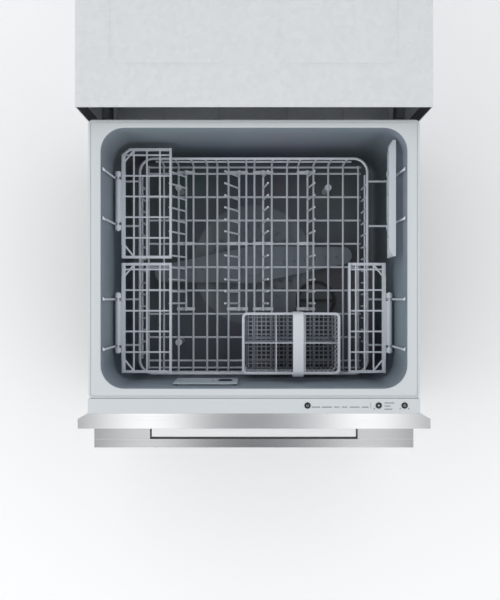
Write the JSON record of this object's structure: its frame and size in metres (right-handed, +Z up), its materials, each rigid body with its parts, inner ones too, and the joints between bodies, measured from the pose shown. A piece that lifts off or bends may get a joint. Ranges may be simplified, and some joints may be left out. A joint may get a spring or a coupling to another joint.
{
  "type": "dishwasher drawer",
  "caption": "Built-in dishwasher drawer pulled open from its steel chassis, with coated wire rack, folding cup racks, tine rows, cutlery basket, spray arm, lid and stainless front.",
  "frame": {"origin": "centre of the chassis footprint, on the surface that it stands on", "axes": "+Z up, +Y from the front panel to the back sheet, +X to the right seen from the front"},
  "size_m": [0.599, 1.158, 0.41],
  "materials": {
    "zinc_steel": "satin",
    "brushed_steel": "brushed",
    "runner_steel": "satin",
    "dark_plastic": "matte",
    "tub_plastic": "satin",
    "strip_plastic": "satin",
    "wire_coating": "satin",
    "basket_plastic": "satin",
    "button_plastic": "gloss",
    "seal_rubber": "matte",
    "spray_plastic": "satin",
    "filter_steel": "satin"
  },
  "bodies": {
    "chassis": {"chassis_base": "zinc_steel", "chassis_left_side": "zinc_steel", "chassis_right_side": "zinc_steel", "chassis_top": "zinc_steel", "chassis_back": "zinc_steel", "front_surround": "dark_plastic", "left_outer_runner": "runner_steel", "right_outer_runner": "runner_steel", "left_lid_actuator": "dark_plastic", "right_lid_actuator": "dark_plastic", "inlet_valve": "tub_plastic", "drain_spigot": "dark_plastic", "power_gland": "dark_plastic"},
    "middle_runners": {"left_middle_runner": "runner_steel", "right_middle_runner": "runner_steel"},
    "lid": {"tub_lid": "tub_plastic", "lid_seal": "seal_rubber"},
    "left_rocker": {"left_lid_rocker": "runner_steel"},
    "right_rocker": {"right_lid_rocker": "runner_steel"},
    "drawer": {"left_inner_runner": "runner_steel", "right_inner_runner": "runner_steel", "tub": "tub_plastic", "front_frame": "dark_plastic", "front_panel": "brushed_steel", "handle": "brushed_steel", "handle_screws": "runner_steel", "control_strip": "strip_plastic", "control_module": "dark_plastic", "dispenser_housing": "tub_plastic", "filter_plate": "filter_steel", "spray_bearing": "dark_plastic", "heater_plate": "filter_steel", "wash_motor": "dark_plastic", "drain_pump": "dark_plastic"},
    "cycle_button": {"cycle_button": "button_plastic"},
    "start_button": {"start_button": "button_plastic"},
    "power_button": {"power_button": "button_plastic"},
    "detergent_door": {"detergent_door": "tub_plastic"},
    "rinse_aid_cap": {"rinse_aid_cap": "dark_plastic"},
    "drain_filter": {"drain_filter": "dark_plastic"},
    "spray_arm": {"spray_arm": "spray_plastic"},
    "rack": {"rack_floor": "wire_coating", "rack_feet": "wire_coating", "rack_left_side": "wire_coating", "rack_right_side": "wire_coating", "rack_front": "wire_coating", "rack_back": "wire_coating", "hinge_clips": "wire_coating", "tine_clips": "wire_coating"},
    "bowl_tines_left": {"bowl_tines_left": "wire_coating"},
    "bowl_tines_centre": {"bowl_tines_centre": "wire_coating"},
    "plate_tines_left": {"plate_tines_left": "wire_coating"},
    "plate_tines_right": {"plate_tines_right": "wire_coating"},
    "cup_rack_rear_left": {"cup_rack_rear_left": "wire_coating"},
    "cup_rack_front_left": {"cup_rack_front_left": "wire_coating"},
    "cup_rack_rear_right": {"cup_rack_rear_right": "wire_coating"},
    "cup_rack_front_right": {"cup_rack_front_right": "wire_coating"},
    "basket": {"cutlery_basket": "basket_plastic", "basket_divider": "basket_plastic", "basket_handle": "basket_plastic"}
  },
  "joints": [
    {"name": "drawer_slide", "type": "slide", "parent": "chassis", "child": "drawer", "axis": [0, -1, 0], "range_m": [-0.52, 0]},
    {"name": "middle_runner_slide", "type": "slide", "parent": "chassis", "child": "middle_runners", "axis": [0, -1, 0], "range_m": [-0.2601, 0.0001]},
    {"name": "lid_drop", "type": "slide", "parent": "chassis", "child": "lid", "axis": [0, 0, 1], "range_m": [-0.012, 0]},
    {"name": "left_rocker_turn", "type": "hinge", "parent": "chassis", "child": "left_rocker", "pos_m": [-0.28, 0.0935, 0.3983], "axis": [1, 0, 0], "range_deg": [-1, 18]},
    {"name": "right_rocker_turn", "type": "hinge", "parent": "chassis", "child": "right_rocker", "pos_m": [0.28, 0.0935, 0.3983], "axis": [1, 0, 0], "range_deg": [-1, 18]},
    {"name": "cycle_button_press", "type": "slide", "parent": "drawer", "child": "cycle_button", "axis": [0, 0, -1], "range_m": [0, 0.0012], "stiffness_N_per_m": 600},
    {"name": "start_button_press", "type": "slide", "parent": "drawer", "child": "start_button", "axis": [0, 0, -1], "range_m": [0, 0.0012], "stiffness_N_per_m": 600},
    {"name": "power_button_press", "type": "slide", "parent": "drawer", "child": "power_button", "axis": [0, 0, -1], "range_m": [0, 0.0012], "stiffness_N_per_m": 600},
    {"name": "detergent_door_hinge", "type": "hinge", "parent": "drawer", "child": "detergent_door", "pos_m": [-0.103, -0.744, 0.272], "axis": [-1, 0, 0], "range_deg": [0, 95]},
    {"name": "rinse_cap_turn", "type": "hinge", "parent": "drawer", "child": "rinse_aid_cap", "pos_m": [-0.051, -0.7423, 0.301], "axis": [0, 1, 0], "range_deg": [0, 90]},
    {"name": "drain_filter_turn", "type": "hinge", "parent": "drawer", "child": "drain_filter", "pos_m": [0.128, -0.5985, 0.102], "axis": [0, 0, 1], "range_deg": [0, 90]},
    {"name": "spray_arm_spin", "type": "hinge", "parent": "drawer", "child": "spray_arm", "pos_m": [0, -0.5265, 0.126], "axis": [0, 0, 1], "continuous": true},
    {"name": "rack_lift", "type": "slide", "parent": "drawer", "child": "rack", "axis": [0, 0, 1], "range_m": [0, 0.26]},
    {"name": "bowl_tines_left_fold", "type": "hinge", "parent": "rack", "child": "bowl_tines_left", "pos_m": [-0.132, -0.48125, 0.1728], "axis": [0, -1, 0], "range_deg": [0, 65]},
    {"name": "bowl_tines_centre_fold", "type": "hinge", "parent": "rack", "child": "bowl_tines_centre", "pos_m": [-0.028, -0.48125, 0.1728], "axis": [0, -1, 0], "range_deg": [0, 65]},
    {"name": "plate_tines_left_fold", "type": "hinge", "parent": "rack", "child": "plate_tines_left", "pos_m": [0.019, -0.48125, 0.1728], "axis": [0, 1, 0], "range_deg": [0, 80]},
    {"name": "plate_tines_right_fold", "type": "hinge", "parent": "rack", "child": "plate_tines_right", "pos_m": [0.106, -0.48125, 0.1728], "axis": [0, 1, 0], "range_deg": [0, 80]},
    {"name": "cup_rack_rear_left_fold", "type": "hinge", "parent": "rack", "child": "cup_rack_rear_left", "pos_m": [-0.24844, -0.4205, 0.275], "axis": [0, -1, 0], "range_deg": [0, 88]},
    {"name": "cup_rack_front_left_fold", "type": "hinge", "parent": "rack", "child": "cup_rack_front_left", "pos_m": [-0.24844, -0.6305, 0.275], "axis": [0, -1, 0], "range_deg": [0, 88]},
    {"name": "cup_rack_rear_right_fold", "type": "hinge", "parent": "rack", "child": "cup_rack_rear_right", "pos_m": [0.24844, -0.4205, 0.275], "axis": [0, 1, 0], "range_deg": [-88, 0]},
    {"name": "cup_rack_front_right_fold", "type": "hinge", "parent": "rack", "child": "cup_rack_front_right", "pos_m": [0.24844, -0.6305, 0.275], "axis": [0, 1, 0], "range_deg": [0, 88]},
    {"name": "basket_lift", "type": "slide", "parent": "rack", "child": "basket", "axis": [0, 0, 1], "range_m": [0, 0.16]}
  ],
  "couplings": [
    {"joint": "middle_runner_slide", "follows": "drawer_slide", "ratio": 0.5},
    {"joint": "left_rocker_turn", "follows": "lid_drop", "rad_per_m": -25},
    {"joint": "right_rocker_turn", "follows": "lid_drop", "rad_per_m": -25}
  ]
}
